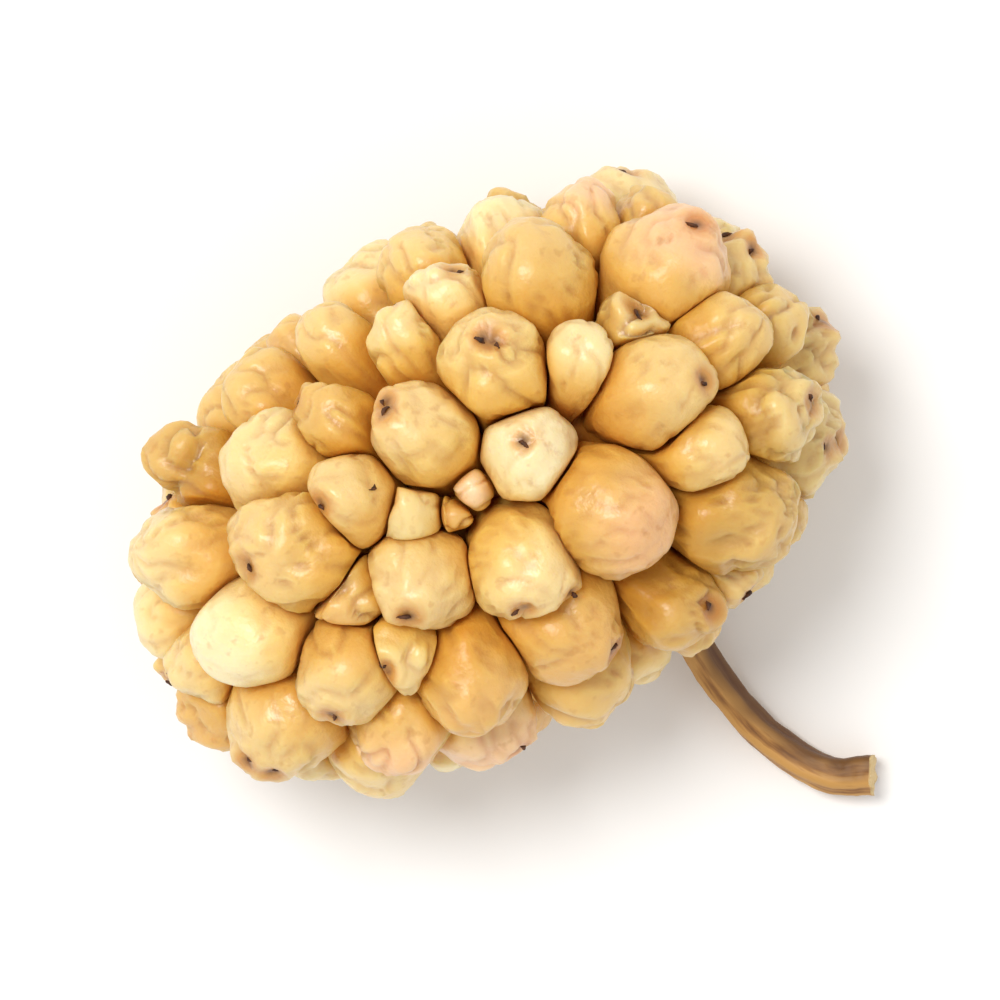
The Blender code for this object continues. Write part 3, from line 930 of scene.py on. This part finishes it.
line = stalk_line(STALK_RINGS)
stalk_points = []
stalk_values = {"painted_shade_side": [], "cut": [], "ridge": []}
stalk_grain = []
side_way = Vector((0, 0, 1))
for ring in range(STALK_RINGS):
    along = ring / (STALK_RINGS - 1)
    is_last = ring == STALK_RINGS - 1
    middle = Vector(line[ring] + HEAD_CENTRE)
    ahead = Vector(line[min(ring + 1, STALK_RINGS - 1)] - line[max(ring - 1, 0)]).normalized()
    side_way = (side_way - ahead * side_way.dot(ahead)).normalized()
    other_way = ahead.cross(side_way)
    radius = STALK_RADIUS * STALK_GIRTH * (1 + (STALK_CUT_END - 1) * along**6)
    for side in range(STALK_SIDES):
        angle = 2 * math.pi * side / STALK_SIDES
        outward = side_way * math.cos(angle) + other_way * math.sin(angle)
        wander = RIDGE_TWIST * along + RIDGE_WANDER * math.sin(9 * along)
        ridge = math.cos(RIDGES * angle + wander)
        sample = Vector(ROUGHNESS_PITCH * (math.cos(angle), math.sin(angle), along))
        rough = noise.noise(sample)
        unevenness = ROUGH * rough + FINE_ROUGH * (noise.noise(sample * FINER) - 1)
        reach = radius * (1 - RIDGE_DEPTH * (1 - ridge) / 2 + unevenness)
        point = middle + outward * reach
        if is_last:
            point += ahead * END_RAGGED * noise.noise(Vector((angle * 2.3, 4.0, 1.0)))
        point.z = max(point.z, 0.01 * MM)
        stalk_points.append(tuple(point))
        # how far each point faces the side darkened by painted shade
        stalk_values["painted_shade_side"].append(0.5 + 0.5 * math.cos(angle - PAINTED_SHADE_SIDE + 0.4 * rough))
        stalk_values["cut"].append(float(is_last))
        stalk_values["ridge"].append(0.5 + 0.5 * ridge)
        stalk_grain.append((math.cos(angle) * radius, math.sin(angle) * radius, along * GRAIN_LENGTH))
start_pole = np.mean(stalk_points[:STALK_SIDES], axis=0)
last_ring = np.array(stalk_points[-STALK_SIDES:])
end_middle = last_ring.mean(axis=0)
ahead = np.array(ahead)
for share in END_RINGS:
    for side in range(STALK_SIDES):
        angle = 2 * math.pi * side / STALK_SIDES
        across = np.array((math.cos(angle), math.sin(angle), 0.0)) * share
        rough = noise.noise(Vector((across[0] * 4, across[1] * 4, 9.0)))
        point = end_middle + (last_ring[side] - end_middle) * share
        point = point - ahead * END_HOLLOW * (1 - rough) * (1 - share)
        stalk_points.append(tuple(point))
        stalk_values["painted_shade_side"].append(0.0)
        stalk_values["cut"].append(1.0)
        stalk_values["ridge"].append(0.5)
        stalk_grain.append(tuple(across * MM))
stalk_points = [start_pole, *stalk_points, end_middle - ahead * END_HOLLOW]
POLE_VALUES = {"painted_shade_side": (0.0, 0.0), "cut": (0.0, 1.0), "ridge": (0.5, 0.5)}
for name, (first_value, last_value) in POLE_VALUES.items():
    stalk_values[name] = [first_value, *stalk_values[name], last_value]
stalk_grain = [(0.0, 0.0, 0.0), *stalk_grain, (0.0, 0.0, 0.0)]
stalk_faces = grid_faces(0, STALK_SIDES, STALK_RINGS + len(END_RINGS))
stalk = add_piece("stalk_stem", stalk_points, stalk_faces)
store_values(stalk.data, stalk_values)
grain_values = stalk.data.attributes.new("grain", "FLOAT_VECTOR", "POINT")
grain_values.data.foreach_set("vector", np.array(stalk_grain, dtype=np.float32).ravel())
outward_faces(stalk.data)

# Dried stalk fibre: brown bark over paler, stringy wood. It looks matt, with streaks along it,
# painted shade down one side and in its furrows, and pale where it was torn.
FIBRE_WIDTH = 0.11 * MM
PATCH_SIZE = 0.5 * MM
FIBRE_RELIEF = 0.02 * MM

bark = new_material("dried_stalk_fibre")
tree = bark.node_tree
grain_place = add_node(tree, "ShaderNodeAttribute", {"attribute_name": "grain"}).outputs["Vector"]
stored = {
    name: add_node(tree, "ShaderNodeAttribute", {"attribute_name": name}).outputs["Fac"]
    for name in stalk_values
}
fibres, patches = (
    add_node(
        tree,
        "ShaderNodeTexNoise",
        {},
        {"Scale": 1 / size, "Detail": detail},
        {"Vector": grain_place},
    ).outputs["Fac"]
    for size, detail in ((FIBRE_WIDTH, 3), (PATCH_SIZE, 2))
)
# the bark's streaks and patches, with painted shade in the furrows between the ridges
height = add_node(
    tree,
    "ShaderNodeMath",
    {"operation": "MULTIPLY_ADD"},
    {1: 0.45},
    {0: stored["ridge"], 2: fibres},
).outputs[0]
height = add_node(
    tree, "ShaderNodeMath", {"operation": "MULTIPLY_ADD"}, {1: 0.5}, {0: patches, 2: height}
).outputs[0]
colour = add_node(
    tree,
    "ShaderNodeValToRGB",
    {},
    {},
    {"Fac": height},
    ((0.40, "#5A3414"), (1.0, "#C08F4A"), (0.65, "#8A5C28"), (0.85, "#AC7A3A")),
).outputs["Color"]
# painted shade down one side of the stalk
painted_shade_mask = add_node(
    tree,
    "ShaderNodeMapRange",
    {},
    {"From Min": 0.55, "From Max": 0.95, "To Min": 0.0, "To Max": 0.85},
    {"Value": stored["painted_shade_side"]},
).outputs[0]
colour = add_node(
    tree,
    "ShaderNodeMix",
    {"data_type": "RGBA"},
    {7: linear("#502C10")},
    {0: painted_shade_mask, 6: colour},
).outputs[2]
colour = add_node(
    tree,
    "ShaderNodeMix",
    {"data_type": "RGBA"},
    {7: linear("#E2C48A")},
    {0: stored["cut"], 6: colour},
).outputs[2]
relief = add_node(
    tree, "ShaderNodeBump", {}, {"Strength": 0.7, "Distance": FIBRE_RELIEF}, {"Height": fibres}
).outputs["Normal"]
shader = add_node(
    tree,
    "ShaderNodeBsdfPrincipled",
    {},
    {"Roughness": 0.55},
    {"Base Color": colour, "Normal": relief},
).outputs[0]
add_node(tree, "ShaderNodeOutputMaterial", {}, {}, {"Surface": shader})
stalk.data.materials.append(bark)
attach(stalk, "root")
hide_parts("stalk")

# Floor, light and camera
#
# A plain sheet of white card, lit softly from all round and more from the upper left. The camera
# looks down on the berry from a little behind it, as it lies.
FLOOR_SIDE = 1.2

shape = bmesh.new()
bmesh.ops.create_grid(shape, x_segments=2, y_segments=2, size=FLOOR_SIDE / 2)
floor_mesh = bpy.data.meshes.new("floor")
shape.to_mesh(floor_mesh)
shape.free()
floor = bpy.data.objects.new("floor", floor_mesh)
bpy.context.scene.collection.objects.link(floor)

# White card: matt pressed paper, which gives the eye only a faint cloudiness
CLOUD_SIZE = 83.3 * MM

white_card = new_material("white_card")
tree = white_card.node_tree
place = add_node(tree, "ShaderNodeTexCoord").outputs["Object"]
patches = add_node(
    tree, "ShaderNodeTexNoise", {}, {"Scale": 1 / CLOUD_SIZE, "Detail": 2}, {"Vector": place}
).outputs["Fac"]
colour = add_node(
    tree, "ShaderNodeValToRGB", {}, {}, {"Fac": patches}, ((0.0, "#F4F3F3"), (1.0, "#F7F7F6"))
).outputs["Color"]
shader = add_node(
    tree, "ShaderNodeBsdfPrincipled", {}, {"Roughness": 0.9}, {"Base Color": colour}
).outputs[0]
add_node(tree, "ShaderNodeOutputMaterial", {}, {}, {"Surface": shader})
floor_mesh.materials.append(white_card)

# A white room all round it
ROOM_LIGHT = 0.76

world = bpy.data.worlds.new("white_room")
bpy.context.scene.world = world
world.use_nodes = True
room = world.node_tree.nodes["Background"]
room.inputs["Color"].default_value = (1.0, 0.99, 0.98, 1)
room.inputs["Strength"].default_value = ROOM_LIGHT
bpy.context.scene.view_settings.view_transform = "Standard"

# The photograph's directions on the floor: right and up
ROLL = math.radians(37.6)
view_right = Vector((math.cos(ROLL), -math.sin(ROLL), 0))
view_up = Vector((math.sin(ROLL), math.cos(ROLL), 0))

# A round soft light, above and to the upper left
KEY_ASIDE = 0.11
KEY_HEIGHT = 0.36

key = bpy.data.lights.new("key", "AREA")
key.shape = "DISK"
key.size = 0.14
key.energy = 0.9
key.color = (1.0, 0.985, 0.96)
key_object = bpy.data.objects.new("key", key)
bpy.context.scene.collection.objects.link(key_object)
key_object.location = (view_up - view_right) * KEY_ASIDE + Vector((0, 0, KEY_HEIGHT))
key_object.rotation_euler = (-key_object.location).to_track_quat("-Z", "Y").to_euler()
key_object.visible_camera = False

# The camera, level with the photograph's right and tilted a little from straight down
CAMERA_DISTANCE = 0.30
CAMERA_TILT = math.radians(6)
SENSOR_WIDTH = 36  # in the millimetres of the camera's own settings
LOOKED_AT = Vector((0.2 * MM, -0.6 * MM, 4.5 * MM))
VIEW_WIDTH = 23.5 * MM

camera = bpy.data.cameras.new("camera")
camera.sensor_width = SENSOR_WIDTH
camera.lens = SENSOR_WIDTH * CAMERA_DISTANCE / VIEW_WIDTH
camera.clip_start = 0.01
camera.clip_end = 10
camera_object = bpy.data.objects.new("camera", camera)
bpy.context.scene.collection.objects.link(camera_object)
overhead = Vector((0, 0, 1))
backward = overhead * math.cos(CAMERA_TILT) + view_up * math.sin(CAMERA_TILT)
upward = view_up * math.cos(CAMERA_TILT) - overhead * math.sin(CAMERA_TILT)
turn = Matrix((view_right, upward, backward)).transposed()
stand = Matrix.Translation(LOOKED_AT + backward * CAMERA_DISTANCE)
camera_object.matrix_world = stand @ turn.to_4x4()
bpy.context.scene.camera = camera_object
